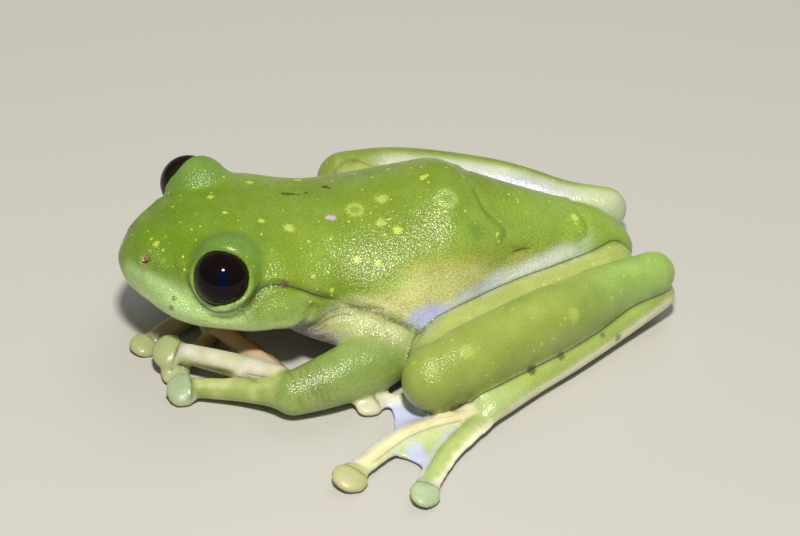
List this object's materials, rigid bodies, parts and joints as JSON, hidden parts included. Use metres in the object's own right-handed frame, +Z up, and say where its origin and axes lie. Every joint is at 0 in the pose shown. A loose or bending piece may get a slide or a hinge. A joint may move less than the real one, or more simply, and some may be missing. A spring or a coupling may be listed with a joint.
{
  "type": "tree frog model",
  "caption": "Life-size still model of a big-eyed tree frog sitting with folded legs, its hands together under its chin.",
  "frame": {"origin": "middle of the bounding box on the floor under the belly", "axes": "+Z up; the frog faces -X, its left side is -Y"},
  "size_m": [0.0722, 0.0714, 0.0206],
  "materials": {
    "skin": "moist, finely granular green skin",
    "eye": "wet, very dark brown"
  },
  "bodies": {
    "root": {"head": "skin", "torso": "skin", "eye_left": "eye", "eye_right": "eye", "thigh_left": "skin", "thigh_right": "skin", "shank_left": "skin", "shank_right": "skin", "foot_left": "skin", "foot_right": "skin", "upper_arm_left": "skin", "upper_arm_right": "skin", "forearm_left": "skin", "forearm_right": "skin", "hand_left": "skin", "hand_right": "skin"}
  },
  "joints": []
}
